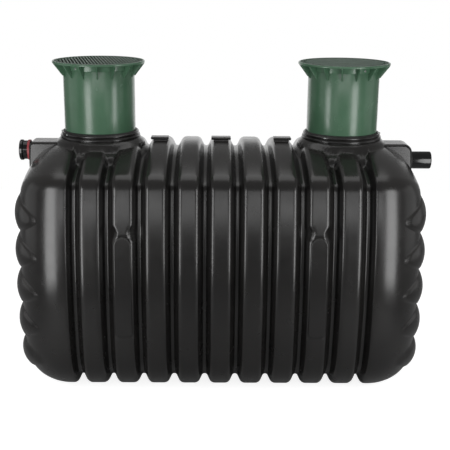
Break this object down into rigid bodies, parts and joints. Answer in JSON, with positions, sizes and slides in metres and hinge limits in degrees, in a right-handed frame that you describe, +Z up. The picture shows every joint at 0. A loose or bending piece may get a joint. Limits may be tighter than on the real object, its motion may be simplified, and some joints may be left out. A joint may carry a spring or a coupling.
{
  "type": "septic tank",
  "caption": "Ribbed black plastic septic tank lying on its side, with two green access shafts under screwed lids, an inlet socket and an outlet pipe.",
  "frame": {"origin": "middle of the tank's flat bottom, on the ground", "axes": "+X along the tank towards the outlet, +Z up, -Y is the front shown in the picture"},
  "size_m": [2.363, 1.292, 1.809],
  "materials": {
    "moulded_body": "satin black moulded polyethylene",
    "shaft_plastic": "glossy dark green polyethylene",
    "lid_plastic": "grey green polyethylene with an anti-slip tread",
    "black_rubber": "black rubber",
    "red_rubber": "red rubber seal",
    "pipe_plastic": "glossy black pipe"
  },
  "bodies": {
    "root": {"roof": "moulded_body", "front_wall": "moulded_body", "rear_wall": "moulded_body", "floor": "moulded_body", "left_end": "moulded_body", "right_end": "moulded_body", "left_neck": "moulded_body", "right_neck": "moulded_body", "inlet_housing": "moulded_body", "outlet_housing": "moulded_body", "rear_left_pad": "moulded_body", "front_left_pad": "moulded_body", "rear_right_pad": "moulded_body", "front_right_pad": "moulded_body", "left_lifting_lug": "moulded_body", "middle_lifting_lug": "moulded_body", "right_lifting_lug": "moulded_body", "left_shaft": "shaft_plastic", "right_shaft": "shaft_plastic", "left_lid_ring": "shaft_plastic", "right_lid_ring": "shaft_plastic", "left_lid": "lid_plastic", "right_lid": "lid_plastic", "left_neck_seal": "black_rubber", "right_neck_seal": "black_rubber", "outlet_seal": "black_rubber", "inlet_seal": "red_rubber", "inlet_socket": "pipe_plastic", "outlet_pipe": "pipe_plastic"}
  },
  "joints": []
}
